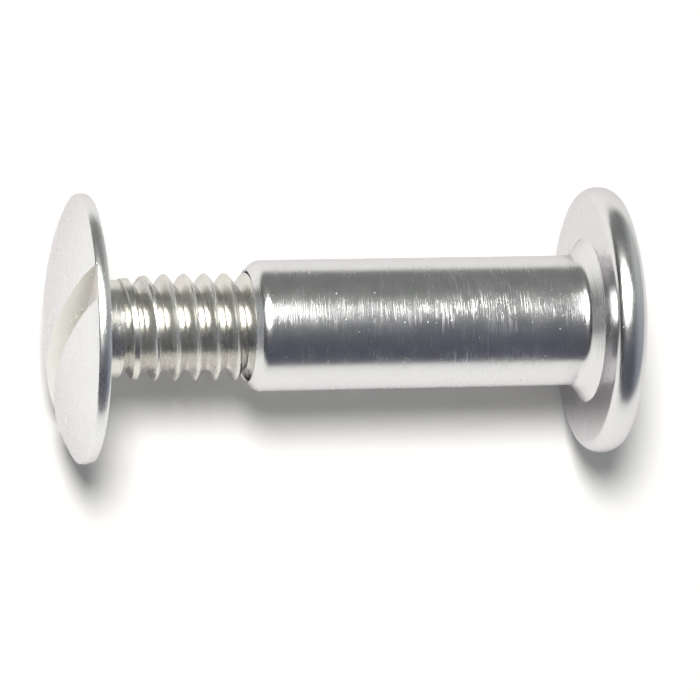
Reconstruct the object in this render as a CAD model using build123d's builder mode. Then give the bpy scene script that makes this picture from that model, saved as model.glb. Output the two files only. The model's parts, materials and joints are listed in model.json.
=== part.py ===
"""Binding barrel screw: a plain-headed tapped barrel and the slotted screw that turns into it.

Millimetres, +Z up. The pair lies on its two heads with its axis along X: screw on the -X side,
barrel on the +X side. The origin is on the resting surface, under the middle of the pair.
"""
import os
from math import asin, atan, cos, degrees, radians, sin, tan

from build123d import *

# ---- Driving dimensions -------------------------------------------------------------------

# both heads
head_diameter = 10.4

# screw, with a number 8 thread of 32 turns to the inch
screw_dome_radius = 19.5
screw_shoulder_radius = 4.4
screw_shoulder_slope = 38.2
screw_rim_height = 0.5
screw_rim_crown = 0.16
slot_width = 1.3
slot_depth = 1.17
slot_offset = 1.3
slot_lean = 19.0
neck_diameter = 3.74
neck_length = 1.1
neck_fillet = 0.18
screw_length = 9.5
thread_diameter = 4.12
thread_pitch = 25.4 / 32
thread_depth = 0.46
thread_angle = 60.0
crest_width = 0.1
thread_start = 0.7
run_in_sink = 0.1
run_out_length = 2.5
tip_chamfer = 0.6

# barrel
barrel_diameter = 5.08
barrel_length = 13.52
barrel_dome_slope = 19.7
barrel_rim_height = 1.16
barrel_rim_crown = 0.3
barrel_flare_length = 0.5
barrel_flare_rise = 0.66
barrel_flare_round = 0.25
mouth_land = 0.02
mouth_round = 0.9
mouth_countersink = 0.05
bore_clearance = 0.05
bore_spare_depth = 1.2
drill_angle = 118.0

# how deep the foot of the thread ridge is sunk into the core, and how far cutting tools clear
ridge_sink = 0.08
tool_gap = 0.1

# how far the screw stands out of the barrel, from head to mouth
opening = 6.14

# ---- Sizes that follow from them ----------------------------------------------------------

head_radius = head_diameter / 2


def rim_edge(rim_height, rim_crown, slope):
    """Where a rim, which is a half ellipse, has this slope from square.

    Gives the distance from the head's seat, the radius, and the angle on the ellipse.
    """
    meet = atan(2 * rim_crown / rim_height * tan(radians(slope)))
    return (
        rim_height / 2 * (1 + cos(meet)),
        head_radius - rim_crown * (1 - sin(meet)),
        degrees(meet),
    )


# the barrel's head is one dome, tangent to its rim
barrel_edge_x, barrel_edge_radius, barrel_rim_start = rim_edge(
    barrel_rim_height, barrel_rim_crown, barrel_dome_slope
)
barrel_dome_radius = barrel_edge_radius / sin(radians(barrel_dome_slope))
barrel_head_height = barrel_edge_x + barrel_dome_radius * (1 - cos(radians(barrel_dome_slope)))

# the screw's head is a flatter dome, with a round shoulder between the dome and the rim
screw_edge_x, screw_edge_radius, screw_rim_start = rim_edge(
    screw_rim_height, screw_rim_crown, screw_shoulder_slope
)
shoulder_x = screw_edge_x - screw_shoulder_radius * cos(radians(screw_shoulder_slope))
shoulder_r = screw_edge_radius - screw_shoulder_radius * sin(radians(screw_shoulder_slope))
dome_reach = screw_dome_radius - screw_shoulder_radius
dome_spread = asin(shoulder_r / dome_reach)
screw_head_height = shoulder_x - dome_reach * cos(dome_spread) + screw_dome_radius
dome_edge_x = shoulder_x + screw_shoulder_radius * cos(dome_spread)
dome_edge_r = shoulder_r + screw_shoulder_radius * sin(dome_spread)

thread_radius = thread_diameter / 2
core_radius = thread_radius - thread_depth
neck_radius = neck_diameter / 2

barrel_radius = barrel_diameter / 2
bore_radius = thread_radius + bore_clearance
# the mouth's chamfer takes the wall that the countersink and a narrow land leave, and its round
# ends within the chamfer
mouth_chamfer = barrel_radius - bore_radius - mouth_countersink - mouth_land
mouth_fillet = min(mouth_round, 0.95 * 2**0.5 * mouth_chamfer / tan(radians(22.5)))
bore_depth = screw_length + bore_spare_depth
drill_point = bore_radius / tan(radians(drill_angle / 2))

overall_length = screw_head_height + opening + barrel_length + barrel_head_height
screw_seat_x = screw_head_height - overall_length / 2
mouth_x = screw_seat_x + opening
barrel_seat_x = mouth_x + barrel_length

main_axis = Axis((0, 0, head_radius), (1, 0, 0))


def profile_plane(x):
    """Plane of a half section: its own x runs along the axis from x, its own y is the radius."""
    return Plane(origin=(x, 0, head_radius), x_dir=(1, 0, 0), z_dir=(0, -1, 0))


# ---- Barrel -------------------------------------------------------------------------------

with BuildPart() as barrel:
    # half section from the mouth to the pole of the dome, with the blind hole left open
    with BuildSketch(profile_plane(mouth_x)) as barrel_section:
        with BuildLine():
            wall = Polyline(
                (bore_depth + drill_point, 0),
                (bore_depth, bore_radius),
                (mouth_countersink, bore_radius),
                (0, bore_radius + mouth_countersink),
                (0, barrel_radius - mouth_chamfer),
                (mouth_chamfer, barrel_radius),
                (barrel_length - barrel_flare_length, barrel_radius),
                (barrel_length, barrel_radius + barrel_flare_rise),
                (barrel_length, head_radius - barrel_rim_crown),
            )
            # the rim is crowned all the way across and runs smoothly into the dome
            rim = EllipticalCenterArc(
                (barrel_length + barrel_rim_height / 2, head_radius - barrel_rim_crown),
                barrel_rim_height / 2,
                barrel_rim_crown,
                start_angle=barrel_rim_start,
                arc_size=180 - barrel_rim_start,
            )
            dome = RadiusArc(
                rim @ 0, (barrel_length + barrel_head_height, 0), barrel_dome_radius
            )
            Line(dome @ 1, wall @ 0)
        make_face()
        # the shank flows into the flare under the head and into the chamfer of its mouth
        shank_ends = barrel_section.vertices().filter_by(
            lambda v: abs(v.Y - barrel_radius) < 0.001
        )
        fillet(shank_ends.sort_by(Axis.X)[-1], barrel_flare_round)
        fillet(shank_ends.sort_by(Axis.X)[0], mouth_fillet)
    revolve(axis=main_axis)

barrel.part.label = "barrel"

# ---- Thread of the screw ------------------------------------------------------------------

# the ridge is a truncated vee on a helix, its foot sunk a little into the core; it starts
# inside the neck, rises out of it on a cone, and runs on past the tip, which is cut later
ridge_length = screw_length + thread_pitch - thread_start
cone_slope = (thread_radius - neck_radius + run_in_sink) / run_out_length
foot = crest_width / 2 + (thread_depth + ridge_sink) * tan(radians(thread_angle / 2))

with BuildPart() as thread:
    ridge_path = Helix(
        pitch=thread_pitch,
        height=ridge_length,
        radius=core_radius - ridge_sink,
        center=(screw_seat_x + thread_start, 0, head_radius),
        direction=(1, 0, 0),
    )
    with BuildSketch(Plane(origin=ridge_path @ 0, x_dir=(1, 0, 0), z_dir=ridge_path % 0)):
        with BuildLine():
            Polyline(
                (-foot, 0),
                (-crest_width / 2, ridge_sink + thread_depth),
                (crest_width / 2, ridge_sink + thread_depth),
                (foot, 0),
                close=True,
            )
        make_face()
    sweep(path=ridge_path, is_frenet=True)
    with BuildSketch(profile_plane(screw_seat_x)):
        with BuildLine():
            Polyline(
                (0, 0),
                (0, neck_radius - run_in_sink),
                (run_out_length + tool_gap / cone_slope, thread_radius + tool_gap),
                (screw_length + 2 * thread_pitch, thread_radius + tool_gap),
                (screw_length + 2 * thread_pitch, 0),
                close=True,
            )
        make_face()
    revolve(axis=main_axis, mode=Mode.INTERSECT)

# ---- Screw --------------------------------------------------------------------------------

with BuildPart() as screw:
    # half section from the pole of the dome to a blank shank, longer than the finished one
    blank_length = screw_length + 2 * thread_pitch
    with BuildSketch(profile_plane(screw_seat_x)) as screw_section:
        with BuildLine():
            side = Polyline(
                (0, head_radius - screw_rim_crown),
                (0, neck_radius),
                (neck_length, neck_radius),
                (neck_length + neck_radius - core_radius, core_radius),
                (blank_length, core_radius),
                (blank_length, 0),
            )
            rim = EllipticalCenterArc(
                (-screw_rim_height / 2, head_radius - screw_rim_crown),
                screw_rim_height / 2,
                screw_rim_crown,
                start_angle=0,
                arc_size=180 - screw_rim_start,
            )
            dome = RadiusArc(
                (-screw_head_height, 0), (-dome_edge_x, dome_edge_r), screw_dome_radius
            )
            RadiusArc(dome @ 1, rim @ 1, screw_shoulder_radius)
            Line(side @ 1, dome @ 0)
        make_face()
        under_head = screw_section.vertices().filter_by(
            lambda v: abs(v.Y - neck_radius) < 0.001
        )
        fillet(under_head.sort_by(Axis.X)[0], neck_fillet)
    revolve(axis=main_axis)
    add(thread.part)
    # the tip is cut off square and chamfered, through the core and the ridge alike
    with BuildSketch(profile_plane(screw_seat_x)):
        with BuildLine():
            Polyline(
                (screw_length, 0),
                (screw_length, thread_radius - tip_chamfer),
                (screw_length - tip_chamfer - tool_gap, thread_radius + tool_gap),
                (blank_length + thread_pitch, thread_radius + tool_gap),
                (blank_length + thread_pitch, 0),
                close=True,
            )
        make_face()
    revolve(axis=main_axis, mode=Mode.SUBTRACT)
    # screwdriver slot, straight across the dome
    pole = Plane(
        origin=(screw_seat_x - screw_head_height, 0, head_radius),
        x_dir=(0, sin(radians(slot_lean)), cos(radians(slot_lean))),
        z_dir=(1, 0, 0),
    )
    with BuildSketch(pole):
        with Locations((0, slot_offset)):
            Rectangle(2 * head_diameter, slot_width)
    extrude(amount=slot_depth, mode=Mode.SUBTRACT)

screw.part.label = "screw"

# ---- Export -------------------------------------------------------------------------------

os.makedirs("parts", exist_ok=True)
export_step(barrel.part, "parts/barrel.step")
export_step(screw.part, "parts/screw.step")
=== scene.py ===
# %% [markdown]
# # A binding barrel screw
#
# The real object is a small binding post. A smooth aluminium barrel with a domed head takes a
# slotted screw with a domed head of its own, and leather or paper is held between the two
# heads. The pair lies on its heads on a pale table, half unscrewed.
#
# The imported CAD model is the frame. It is loaded first, and every place in this lesson is
# measured from its boxes. Then come the camera, the room, the barrel, the screw and the metal.

# %% Load the frame
import bmesh
import bpy
import json
from math import asin, atan2, cos, degrees, pi, radians, sin, tan
from mathutils import Matrix, Vector


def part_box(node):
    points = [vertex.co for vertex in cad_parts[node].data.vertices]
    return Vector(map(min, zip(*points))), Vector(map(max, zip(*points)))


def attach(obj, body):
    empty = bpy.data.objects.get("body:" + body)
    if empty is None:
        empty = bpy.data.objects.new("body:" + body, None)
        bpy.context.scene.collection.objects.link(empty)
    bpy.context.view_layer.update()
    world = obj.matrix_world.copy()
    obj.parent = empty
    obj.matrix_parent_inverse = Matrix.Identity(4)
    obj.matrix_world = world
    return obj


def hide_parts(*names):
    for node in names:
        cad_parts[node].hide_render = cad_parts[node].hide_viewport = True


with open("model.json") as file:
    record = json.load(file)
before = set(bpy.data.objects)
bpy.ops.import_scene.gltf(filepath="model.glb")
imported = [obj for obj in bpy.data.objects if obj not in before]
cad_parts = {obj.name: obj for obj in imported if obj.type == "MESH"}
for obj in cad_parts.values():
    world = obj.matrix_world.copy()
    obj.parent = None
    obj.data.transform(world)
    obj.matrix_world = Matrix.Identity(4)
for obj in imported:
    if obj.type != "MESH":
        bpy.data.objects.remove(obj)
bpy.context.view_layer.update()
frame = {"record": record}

# %% [markdown]
# The sizes of turned metal are in millimetres, and Blender works in metres here, so one name
# stands for a millimetre. The axis of the pair runs along X at half the height of the heads.

# %% Read the main places from the frame
MM = 0.001
barrel_low, barrel_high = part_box("barrel")
mouth_x = barrel_low.x
axis_z = (barrel_low.z + barrel_high.z) / 2
head_radius = (barrel_high.z - barrel_low.z) / 2
rim_radius = head_radius / MM
tip_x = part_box("screw")[1].x
seats = {mount["name"]: mount["pos_m"] for mount in frame["record"]["mounts"]}
screw_seat_x = seats["screw_head_seat"][0]
barrel_seat_x = seats["barrel_head_seat"][0]
print("head radius", round(rim_radius, 3), "mm, mouth at", round(mouth_x / MM, 3), "mm")

# %% [markdown]
# ## The camera
#
# The pair is seen from in front and from high up, a little from the screw's end, with a long
# lens. A long lens keeps the two heads nearly the same size, as they are. The axis of the
# pair climbs slightly to the right, so the camera is rolled by that angle.

# %% Place the camera
view_turn = radians(12.7)
view_height = radians(74.0)
view_roll = radians(1.1)
view_distance = 205 * MM
view_drop = 1.0 * MM
aim_x = 0.233 * MM
lens_length = 272.1

toward_camera = Vector((
    -sin(view_turn),
    -cos(view_turn) * cos(view_height),
    cos(view_turn) * sin(view_height),
))
right = Vector((1, 0, 0)) - toward_camera * toward_camera.x
right.normalize()
up = toward_camera.cross(right)
rolled_right = right * cos(view_roll) - up * sin(view_roll)
rolled_up = right * sin(view_roll) + up * cos(view_roll)
target = Vector((aim_x, 0, axis_z))

camera_data = bpy.data.cameras.new("camera")
camera_data.sensor_width = 36
camera_data.lens = lens_length
camera = bpy.data.objects.new("camera", camera_data)
bpy.context.scene.collection.objects.link(camera)
turn = Matrix((rolled_right, rolled_up, toward_camera)).transposed()
camera.matrix_world = (
    Matrix.Translation(target + toward_camera * view_distance - rolled_up * view_drop)
    @ turn.to_4x4()
)
camera_data.clip_start = 0.01
camera_data.clip_end = 20
bpy.context.scene.camera = camera
print("camera", round(view_distance / MM), "mm away, lens", lens_length, "mm")

# %% [markdown]
# ## The room
#
# Polished metal has no colour of its own to show. It shows the room, so the room is most of
# the finish. A white table fills the lower half of every reflection. Two lamps share the rest
# of the work. One hangs overhead and a little to the left, lights the table and throws the
# short shadows, and the metal doesn't show it. The other hangs further to the left, and only
# the metal shows it: where a rim or a chamfer turns that way it leaves a white spot. Between
# the spots the metal shows a dim room, a little lighter at the back than in front, with a dark
# wall on the left and a pale one on the right.

# %% Helpers for node materials
def new_material(name):
    """A material with an empty tree and an output, and the tree to fill."""
    made = bpy.data.materials.new(name)
    made.use_nodes = True
    tree = made.node_tree
    tree.nodes.clear()
    return made, tree


def add_node(tree, kind, **settings):
    """A node of this kind, with its inputs or its own settings filled in by name."""
    node = tree.nodes.new(kind)
    for name, value in settings.items():
        if name in node.inputs:
            node.inputs[name].default_value = value
        else:
            setattr(node, name, value)
    return node


def held_range(tree, value, old, new):
    """A value moved from its old range to a new one, and held inside the new one."""
    moved = add_node(tree, "ShaderNodeMapRange")
    for name, end in zip(("From Min", "From Max", "To Min", "To Max"), (*old, *new)):
        moved.inputs[name].default_value = end
    tree.links.new(value, moved.inputs["Value"])
    return moved.outputs["Result"]


# %% The table
table_side = 1.6
mesh = bpy.data.meshes.new("table")
table_form = bmesh.new()
bmesh.ops.create_grid(table_form, x_segments=8, y_segments=8, size=table_side / 2)
table_form.to_mesh(mesh)
table_form.free()
table = bpy.data.objects.new("table", mesh)
bpy.context.scene.collection.objects.link(table)

paper, tree = new_material("table_paper")
shader = add_node(tree, "ShaderNodeBsdfPrincipled")
shader.inputs["Base Color"].default_value = (0.872, 0.857, 0.832, 1)
shader.inputs["Roughness"].default_value = 0.7
shader.inputs["Specular IOR Level"].default_value = 0.1
shader.inputs["Emission Color"].default_value = (1.0, 1.0, 0.98, 1)
shader.inputs["Emission Strength"].default_value = 0.04
surface = add_node(tree, "ShaderNodeOutputMaterial")
tree.links.new(shader.outputs["BSDF"], surface.inputs["Surface"])
table.data.materials.append(paper)
print("table", table_side, "m a side")

# %% The lamps and the dim room
def soft_box(name, place, size_x, size_y, power, colour):
    """An oval area lamp that hangs at place and faces the object, its size_x along X."""
    lamp = bpy.data.lights.new(name, "AREA")
    lamp.shape = "ELLIPSE"
    lamp.size = size_x
    lamp.size_y = size_y
    lamp.energy = power
    lamp.color = colour
    holder = bpy.data.objects.new(name, lamp)
    bpy.context.scene.collection.objects.link(holder)
    back = (Vector(place) - Vector((0, 0, axis_z))).normalized()
    side = (Vector((1, 0, 0)) - back * back.x).normalized()
    turned = Matrix((side, back.cross(side), back)).transposed()
    holder.matrix_world = Matrix.Translation(place) @ turned.to_4x4()
    print(name, "at", [round(p, 2) for p in place])
    return holder


table_lamp = soft_box(
    "table_lamp", place=(-0.07, 0.021, 0.35), size_x=0.09, size_y=0.14,
    power=1.3, colour=(1.0, 1.0, 0.985),
)
table_lamp.visible_glossy = False
mirror_lamp = soft_box(
    "mirror_lamp", place=(-0.19, 0.068, 0.49), size_x=0.5, size_y=0.43,
    power=3.9, colour=(1.0, 1.0, 0.955),
)
mirror_lamp.visible_diffuse = False

front_glow = (0.08, 0.083, 0.108, 1)
back_glow = (0.18, 0.187, 0.18, 1)
room = bpy.data.worlds.new("room")
bpy.context.scene.world = room
room.use_nodes = True
tree = room.node_tree
tree.nodes.clear()
place = add_node(tree, "ShaderNodeTexCoord")
split = add_node(tree, "ShaderNodeSeparateXYZ")
tree.links.new(place.outputs["Generated"], split.inputs["Vector"])
ramp = add_node(tree, "ShaderNodeValToRGB")
front_to_back = held_range(tree, split.outputs["Y"], (-1.0, 1.0), (0.0, 1.0))
tree.links.new(front_to_back, ramp.inputs["Fac"])
ramp.color_ramp.elements[0].position = 0.1
ramp.color_ramp.elements[0].color = front_glow
ramp.color_ramp.elements[1].position = 0.75
ramp.color_ramp.elements[1].color = back_glow
glow = add_node(tree, "ShaderNodeBackground")
tree.links.new(ramp.outputs["Color"], glow.inputs["Color"])
left_wall = held_range(tree, split.outputs["X"], (-0.9, -0.55), (0.15, 1.0))
right_wall = held_range(tree, split.outputs["X"], (0.28, 0.65), (1.0, 3.0))
walls = add_node(tree, "ShaderNodeMath", operation="MULTIPLY")
tree.links.new(left_wall, walls.inputs[0])
tree.links.new(right_wall, walls.inputs[1])
tree.links.new(walls.outputs["Value"], glow.inputs["Strength"])
surface = add_node(tree, "ShaderNodeOutputWorld")
tree.links.new(glow.outputs["Background"], surface.inputs["Surface"])
bpy.context.scene.view_settings.view_transform = "Standard"

# %% [markdown]
# ## Turned parts
#
# Both parts come off a lathe, so their outlines are drawn once as a half section and spun
# round the axis. A spun outline gives rounds and fillets that stay smooth in a close view,
# and it keeps every edge where the lathe left it.

# %% Lathe helpers
dome_steps, shoulder_steps, rim_steps = 16, 24, 32


def arc(centre_x, centre_r, radius, start, end, steps):
    """Points on a round of a half section, from one angle in degrees to another."""
    points = []
    for step in range(steps + 1):
        angle = radians(start + (end - start) * step / steps)
        points.append((centre_x + radius * cos(angle), centre_r + radius * sin(angle)))
    return points


def head_points(seat_x, side, rim_height, rim_crown, slope, shoulder=None, dome=None):
    """Half section of a domed head, in mm, from its pole to the edge of its flat seat.

    The rim is a half ellipse. A round shoulder leaves it where both have this slope, in
    degrees from square, and runs into a flatter dome. With no shoulder the dome starts there.
    side is 1 for a head that faces +X and -1 for one that faces -X."""
    slope = radians(slope)
    meet = atan2(2 * rim_crown * sin(slope), rim_height * cos(slope))
    edge_x = rim_height / 2 * (1 + cos(meet))
    edge_r = rim_radius - rim_crown * (1 - sin(meet))
    if shoulder is None:
        shoulder = dome = edge_r / sin(slope)
        spread = 0.0
    else:
        spread = asin((edge_r - shoulder * sin(slope)) / (dome - shoulder))
    shoulder_x = edge_x - shoulder * cos(slope)
    shoulder_r = edge_r - shoulder * sin(slope)
    dome_x = shoulder_x - (dome - shoulder) * cos(spread)
    points = []
    if spread:
        for step in range(dome_steps):
            angle = spread * step / dome_steps
            points.append((dome_x + dome * cos(angle), dome * sin(angle)))
    for step in range(shoulder_steps + 1):
        angle = spread + (slope - spread) * step / shoulder_steps
        points.append((shoulder_x + shoulder * cos(angle), shoulder_r + shoulder * sin(angle)))
    for step in range(1, rim_steps + 1):
        angle = meet + (pi - meet) * step / rim_steps
        x = rim_height / 2 * (1 + cos(angle))
        points.append((x, rim_radius - rim_crown * (1 - sin(angle))))
    return [(seat_x + side * x, max(r, 0.0)) for x, r in points]


def spin(profile, around):
    """A closed mesh form from a half section in mm, x along the axis and r from it."""
    on_axis = 1e-6
    form = bmesh.new()
    rings = []
    for x, r in profile:
        if r < on_axis:
            rings.append([form.verts.new((x * MM, 0, axis_z))])
            continue
        ring = []
        for step in range(around):
            angle = 2 * pi * step / around
            ring.append(form.verts.new((x * MM, r * MM * sin(angle), axis_z + r * MM * cos(angle))))
        rings.append(ring)
    for first, second in zip(rings, rings[1:]):
        for step in range(around):
            after = (step + 1) % around
            if len(first) == 1:
                form.faces.new((first[0], second[step], second[after]))
            elif len(second) == 1:
                form.faces.new((first[step], second[0], first[after]))
            else:
                form.faces.new((first[step], second[step], second[after], first[after]))
    bmesh.ops.recalc_face_normals(form, faces=form.faces)
    return form


def smooth_piece(piece, sharp=28):
    """Smooth shading that breaks at edges sharper than this angle in degrees."""
    for face in piece.data.polygons:
        face.use_smooth = True
    piece.data.set_sharp_from_angle(angle=radians(sharp))


def make_piece(name, form, body, sharp=28):
    """An object from a form, smooth but for its real edges, which rides on a body."""
    piece_mesh = bpy.data.meshes.new(name)
    form.to_mesh(piece_mesh)
    form.free()
    piece = bpy.data.objects.new(name, piece_mesh)
    bpy.context.scene.collection.objects.link(piece)
    smooth_piece(piece, sharp)
    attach(piece, body)
    return piece


def apply_modifier(piece, modifier):
    """Bakes a modifier into the piece's mesh."""
    view = bpy.context.evaluated_depsgraph_get()
    done = bpy.data.meshes.new_from_object(piece.evaluated_get(view), depsgraph=view)
    piece.modifiers.remove(modifier)
    piece.data = done


# %% [markdown]
# ## The barrel
#
# The barrel is one turned piece: a low dome with a crowned rim, a straight shank, and a blind
# hole from its open end. Under the head the shank flares out in a short cone, and the open end
# is broken by a chamfer that flows into the shank.

# %% Turn the barrel
shank_radius = 2.54
barrel_length = (barrel_seat_x - mouth_x) / MM
flare_length = 0.5
flare_rise = 0.66
flare_round = 0.4
barrel_rim_height = 1.16
barrel_rim_crown = 0.42
barrel_dome_slope = 20.18
mouth_chamfer = 0.36
mouth_round = 0.55
mouth_turn = 45
bore_radius = 2.11
bore_depth = 10.7
countersink = 0.05
drill_angle = 118
ring_steps = 256

barrel_profile = head_points(
    barrel_length, 1, barrel_rim_height, barrel_rim_crown, barrel_dome_slope
)
flare_angle = degrees(atan2(flare_rise, flare_length))
flare_start = barrel_length - flare_length - flare_round * tan(radians(flare_angle / 2))
barrel_profile.append((barrel_length, shank_radius + flare_rise))
barrel_profile += arc(
    flare_start, shank_radius + flare_round, flare_round, flare_angle - 90, -90, 10
)
barrel_profile += [(barrel_length * part, shank_radius) for part in (0.8, 0.6, 0.4, 0.2)]
mouth_arc_x = mouth_chamfer + mouth_round * tan(radians(mouth_turn / 2))
barrel_profile += arc(
    mouth_arc_x, shank_radius - mouth_round, mouth_round, 90, 90 + mouth_turn, 10
)
barrel_profile += [
    (0.0, shank_radius - mouth_chamfer),
    (0.0, bore_radius + countersink),
    (countersink, bore_radius),
    (bore_depth, bore_radius),
    (bore_depth + bore_radius / tan(radians(drill_angle / 2)), 0),
]
barrel_profile = [(x + mouth_x / MM, r) for x, r in barrel_profile]
barrel = make_piece("turned_barrel", spin(barrel_profile, ring_steps), "barrel")
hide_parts("barrel")
print("barrel with", len(barrel.data.polygons), "faces")

# %% [markdown]
# ## The screw
#
# The screw is turned, slotted and threaded. The head and the plain neck are spun as one form.
# The head is nearly flat in the middle and rounds off over a shoulder. The slot is cut by a
# straight cutter, as a slotting saw cuts it, and this screw's saw ran off the middle. The
# slot's edges are broken with a very small bevel, because an edge that catches no light looks
# drawn.

# %% Turn the head and the neck
screw_seat = (screw_seat_x - mouth_x) / MM
neck_radius = 1.87
neck_length = 1.1
neck_fillet = 0.18
core_radius = 1.6
core_overlap = 0.6
core_sink = 0.01
core_end_sink = 0.2
screw_rim_height = 0.5
screw_rim_crown = 0.1
screw_shoulder_slope = 31.36
screw_shoulder_radius = 5.0
screw_dome_radius = 13.5

screw_profile = head_points(
    screw_seat, -1, screw_rim_height, screw_rim_crown, screw_shoulder_slope,
    shoulder=screw_shoulder_radius, dome=screw_dome_radius,
)
screw_pole = screw_profile[0][0]
screw_profile += arc(
    screw_seat + neck_fillet, neck_radius + neck_fillet, neck_fillet, 180, 270, 8
)
screw_profile += [
    (screw_seat + neck_length, neck_radius),
    (screw_seat + neck_length + neck_radius - core_radius, core_radius - core_sink),
    (screw_seat + neck_length + core_overlap, core_radius - core_end_sink),
    (screw_seat + neck_length + core_overlap, 0),
]
screw_profile = [(x + mouth_x / MM, r) for x, r in screw_profile]
screw_head = make_piece("screw_head", spin(screw_profile, ring_steps), "screw")

# %% Cut the slot
slot_width = 1.3
slot_depth = 1.17
slot_offset = 1.3
slot_lean = radians(19)
slot_edge_break = 0.035
sharp_corner = radians(50)
bar_length = 13


def slot_cutter():
    """A straight bar across the dome, as deep as the saw went."""
    form = bmesh.new()
    bmesh.ops.create_cube(form, size=1)
    pole_x = (mouth_x / MM + screw_pole) * MM
    reach_out = 1.0 * MM
    scale = Matrix.Diagonal((slot_depth * MM + reach_out, slot_width * MM, bar_length * MM, 1))
    middle = Matrix.Translation((pole_x + (slot_depth * MM - reach_out) / 2, 0, axis_z))
    lean = Matrix.Rotation(-slot_lean, 4, "X")
    aside = Matrix.Translation((0, -slot_offset * MM, 0))
    bmesh.ops.transform(form, matrix=middle @ lean @ aside @ scale, verts=form.verts)
    bar_mesh = bpy.data.meshes.new("slot_cutter")
    form.to_mesh(bar_mesh)
    form.free()
    bar = bpy.data.objects.new("slot_cutter", bar_mesh)
    bpy.context.scene.collection.objects.link(bar)
    return bar


cutter = slot_cutter()
cut = screw_head.modifiers.new("slot", "BOOLEAN")
cut.operation = "DIFFERENCE"
cut.solver = "EXACT"
cut.object = cutter
apply_modifier(screw_head, cut)
bpy.data.objects.remove(cutter, do_unlink=True)
edge_break = screw_head.modifiers.new("edge_break", "BEVEL")
edge_break.width = slot_edge_break * MM
edge_break.segments = 2
edge_break.limit_method = "ANGLE"
edge_break.angle_limit = sharp_corner
apply_modifier(screw_head, edge_break)
smooth_piece(screw_head)
print("screw head with", len(screw_head.data.polygons), "faces")

# %% [markdown]
# ### The thread
#
# The thread is a ridge that climbs round the core, one pitch per turn, and it fades out of the
# neck. A rolled thread has a round crest and a round root, and the round roots are what hold
# the bright spots. A twisted grid makes it: each column of points is the same outline of ridge
# and groove, moved along the axis as it goes round, so the last column of one turn joins the
# first column of the next. A cone cuts the ridge back beside the neck. It rises from under the
# neck's surface at the head, and reaches the full crest 2.5 mm further on. Both flat ends of
# the form are closed, the first one out of sight in the neck.

# %% Wind the thread
thread_radius = 2.06
inch = 25.4
turns_per_inch = 32
pitch = inch / turns_per_inch
crest_width = 0.1
crest_lift = 0.02
flank_slope = tan(radians(30))
thread_start = 0.7
thread_shows_from = 0.85
run_in_sink = 0.1
run_out_length = 2.5
tip_chamfer = 0.6
cone_slope = (thread_radius - neck_radius + run_in_sink) / run_out_length
screw_length = (tip_x - screw_seat_x) / MM
crest_round = 0.2
root_round = 0.3
least_radius = 0.2
merge_distance = 1e-9
columns = 160
rows_per_turn = 26


def blend(low, high, width):
    """The lower of two heights, with the corner between them rounded over this width."""
    near = max(width - abs(low - high), 0.0)
    return min(low, high) - near**2 / (4 * width)


def thread_height(x, off_crest):
    """Radius of the thread at x from the head's seat, this far along from the crest's middle."""
    flat = thread_radius + crest_lift
    flanks = flat + (crest_width / 2 - abs(off_crest)) / flank_slope
    ridge = -blend(-blend(flanks, flat, crest_round), -core_radius, root_round)
    cone = neck_radius - run_in_sink + cone_slope * x
    tip = thread_radius - tip_chamfer + (screw_length - x)
    return max(min(max(min(ridge, cone), core_radius), tip), least_radius)


def wind_thread():
    """The whole threaded length as one closed form."""
    form = bmesh.new()
    rows = [row / rows_per_turn - 0.5 for row in range(rows_per_turn)]
    first, last = thread_shows_from, screw_length
    turns = range(-1, int((screw_length - thread_start) / pitch) + 3)
    grid = []
    for turn_number in turns:
        for share in rows:
            line = []
            for column in range(columns + 1):
                along = column / columns
                x = thread_start + pitch * (turn_number + along + share)
                angle = 2 * pi * along
                held = min(max(x, first), last)
                r = core_radius if x < first else thread_height(held, share * pitch)
                if x > last:
                    r = thread_radius - tip_chamfer
                line.append(((screw_seat + held) * MM, r * MM, angle))
            grid.append(line)
    points = {}
    for row, line in enumerate(grid):
        for column, (x, r, angle) in enumerate(line[:-1]):
            points[row, column] = form.verts.new(
                (x + mouth_x, -r * sin(angle), axis_z + r * cos(angle))
            )
    per_turn = len(rows)
    for row in range(len(grid) - 1):
        for column in range(columns):
            corners = [points[row, column], points[row + 1, column]]
            if column + 1 < columns:
                corners += [points[row + 1, column + 1], points[row, column + 1]]
            elif row + 1 + per_turn < len(grid):
                corners += [points[row + 1 + per_turn, 0], points[row + per_turn, 0]]
            else:
                continue
            form.faces.new(corners)
    bmesh.ops.remove_doubles(form, verts=form.verts, dist=merge_distance)
    open_edges = [edge for edge in form.edges if edge.is_boundary]
    print("thread's open edges before closing:", len(open_edges))
    bmesh.ops.holes_fill(form, edges=open_edges, sides=0)
    bmesh.ops.recalc_face_normals(form, faces=form.faces)
    return form


thread = make_piece("screw_thread", wind_thread(), "screw", sharp=24)
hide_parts("screw")
print("thread with", len(thread.data.polygons), "faces, pitch", round(pitch, 3), "mm")

# %% [markdown]
# ## The metal
#
# Bright turned aluminium is nearly a mirror, softened by what the tool and the tumbling drum
# left on it: very fine lines round the axis, small pits, and a scuffed patch where parts have
# rubbed. The colour hardly changes. The marks live in the roughness and in the bump. The slot
# was sawn after the head was polished, so its faces are rougher and its lines are deeper. The
# rolled thread and the neck are a little darker and warmer than the rest. Part of that is their
# rolled finish, and part is painted shade standing in for the shadowed table that the thread
# reflects.
#
# Each kind of mark is a noise that is drawn out by its own numbers along X, Y and Z, in waves
# a millimetre. A high first number with two low ones gives lines round the axis.

# %% Bright aluminium
grazing_tint = (0.74, 0.71, 0.74, 1)
line_stretch = (22, 0.35, 0.35)
scratch_stretch = (26, 0.8, 0.8)
patch_stretch = (1.6, 1.3, 1.3)
pit_stretch = (7.5, 7.5, 7.5)
cloud_stretch = (0.8, 0.8, 0.8)
scratch_depth = 0.0024
scratch_roughness = 0.12
pit_depth = 0.004
full_scuff_share = 0.6
scuff_elsewhere = 0.5


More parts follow.
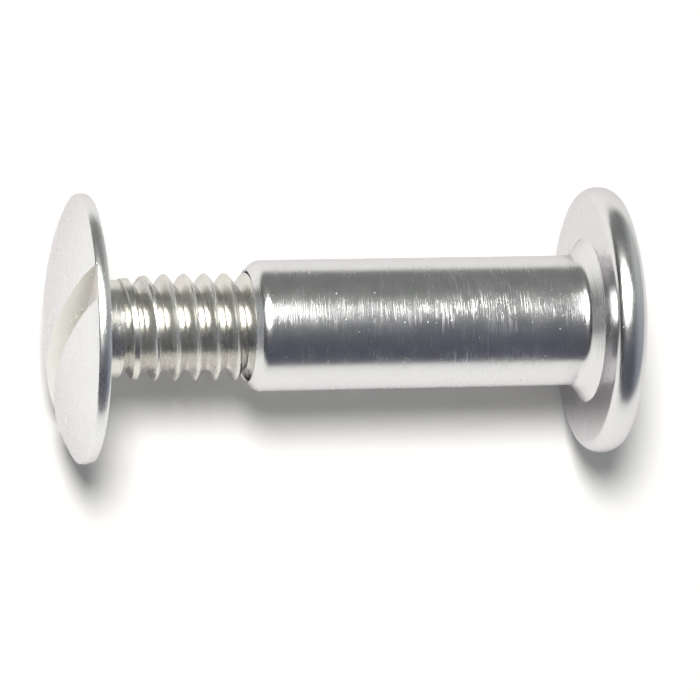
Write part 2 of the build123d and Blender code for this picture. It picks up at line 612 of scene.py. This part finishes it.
def bright_metal(name, colour, roughness, line_depth, scuff_x, scuff_reach):
    """Turned aluminium with lines round the X axis, pits, and scratches near x = scuff_x mm."""
    metal, tree = new_material(name)
    link = tree.links.new
    place = add_node(tree, "ShaderNodeTexCoord")
    in_mm = add_node(tree, "ShaderNodeVectorMath", operation="SCALE")
    in_mm.inputs["Scale"].default_value = 1000
    link(place.outputs["Object"], in_mm.inputs[0])

    def stretched_noise(stretch, detail):
        """Noise drawn out by a different amount along each axis."""
        drawn = add_node(tree, "ShaderNodeVectorMath", operation="MULTIPLY")
        drawn.inputs[1].default_value = stretch
        link(in_mm.outputs[0], drawn.inputs[0])
        noise = add_node(tree, "ShaderNodeTexNoise", Scale=1.0, Detail=detail, Roughness=0.6)
        link(drawn.outputs[0], noise.inputs["Vector"])
        return noise.outputs["Fac"]

    def combined(operation, first, second):
        """Two values put together by a sum, a product or the like."""
        node = add_node(tree, "ShaderNodeMath", operation=operation)
        for socket, value in zip(node.inputs, (first, second)):
            if isinstance(value, (int, float)):
                socket.default_value = value
            else:
                link(value, socket)
        return node.outputs["Value"]

    def bump(height, depth, under=None):
        """A bump of this depth in mm, laid over another one."""
        node = add_node(tree, "ShaderNodeBump", Strength=1.0)
        node.inputs["Distance"].default_value = depth * MM
        link(height, node.inputs["Height"])
        if under is not None:
            link(under, node.inputs["Normal"])
        return node.outputs["Normal"]

    along = add_node(tree, "ShaderNodeSeparateXYZ")
    link(in_mm.outputs[0], along.inputs["Vector"])
    off_scuff = combined("ABSOLUTE", combined("SUBTRACT", along.outputs["X"], scuff_x), 0)
    fades = (scuff_reach * full_scuff_share, scuff_reach)
    near_scuff = held_range(tree, off_scuff, fades, (1.0, scuff_elsewhere))
    patches = held_range(tree, stretched_noise(patch_stretch, 2.0), (0.38, 0.58), (0.0, 1.0))
    scuffed = combined("MULTIPLY", near_scuff, patches)
    scratches = held_range(tree, stretched_noise(scratch_stretch, 2.0), (0.52, 0.7), (0.0, 1.0))
    scratched = combined("MULTIPLY", scratches, scuffed)
    pits = held_range(tree, stretched_noise(pit_stretch, 1.0), (0.73, 0.8), (0.0, -1.0))

    clouds = stretched_noise(cloud_stretch, 3.0)
    clouded = held_range(tree, clouds, (0.3, 0.7), (roughness - 0.03, roughness + 0.05))
    rough = combined("ADD", clouded, combined("MULTIPLY", scratched, scratch_roughness))

    normal = bump(stretched_noise(line_stretch, 3.0), line_depth)
    normal = bump(scratched, scratch_depth, normal)
    normal = bump(pits, pit_depth, normal)

    shader = add_node(tree, "ShaderNodeBsdfPrincipled", Metallic=1.0)
    shader.inputs["Base Color"].default_value = colour
    shader.inputs["Specular Tint"].default_value = grazing_tint
    link(rough, shader.inputs["Roughness"])
    link(normal, shader.inputs["Normal"])
    surface = add_node(tree, "ShaderNodeOutputMaterial")
    link(shader.outputs["BSDF"], surface.inputs["Surface"])
    print(name, "with", len(tree.nodes), "nodes")
    return metal


screw_scuff = {"scuff_x": -7.0, "scuff_reach": 4.0}
barrel_metal = bright_metal(
    "barrel_aluminium", colour=(0.77, 0.77, 0.775, 1), roughness=0.225, line_depth=0.004,
    scuff_x=4.9, scuff_reach=2.6,
)
screw_metal = bright_metal(
    "screw_aluminium", colour=(0.825, 0.828, 0.83, 1), roughness=0.26, line_depth=0.003,
    **screw_scuff,
)
# A darker, warmer copy for the thread and the neck: partly their rolled finish, partly painted
# shade for the shadowed table the thread reflects.
thread_metal_painted_shade = bright_metal(
    "rolled_aluminium_painted_shade", colour=(0.76, 0.75, 0.705, 1), roughness=0.27, line_depth=0.003,
    **screw_scuff,
)
sawn_metal = bright_metal(
    "sawn_aluminium", colour=(0.84, 0.833, 0.8, 1), roughness=0.29, line_depth=0.007,
    **screw_scuff,
)
for piece, metal in ((barrel, barrel_metal), (screw_head, screw_metal), (thread, thread_metal_painted_shade)):
    piece.data.materials.clear()
    piece.data.materials.append(metal)

# %% Leave the slot as the saw did, and the neck like the thread
screw_head.data.materials.append(sawn_metal)
screw_head.data.materials.append(thread_metal_painted_shade)
polished, sawn, rolled_and_shaded = range(3)
hair = 0.01
floor_x = mouth_x + (screw_pole + slot_depth + hair) * MM
neck_x = screw_seat_x + hair * MM
finishes = []
for face in screw_head.data.polygons:
    across = (face.center.y * cos(slot_lean) - (face.center.z - axis_z) * sin(slot_lean)) / MM
    in_slot = abs(across + slot_offset) < slot_width / 2 + hair and face.center.x < floor_x
    # The neck takes the thread's darker copy, which is partly painted shade.
    if face.center.x > neck_x:
        face.material_index = rolled_and_shaded
    elif in_slot:
        face.material_index = sawn
    else:
        face.material_index = polished
    finishes.append(face.material_index)
print(finishes.count(sawn), "sawn faces in the slot,", finishes.count(rolled_and_shaded), "on the neck")
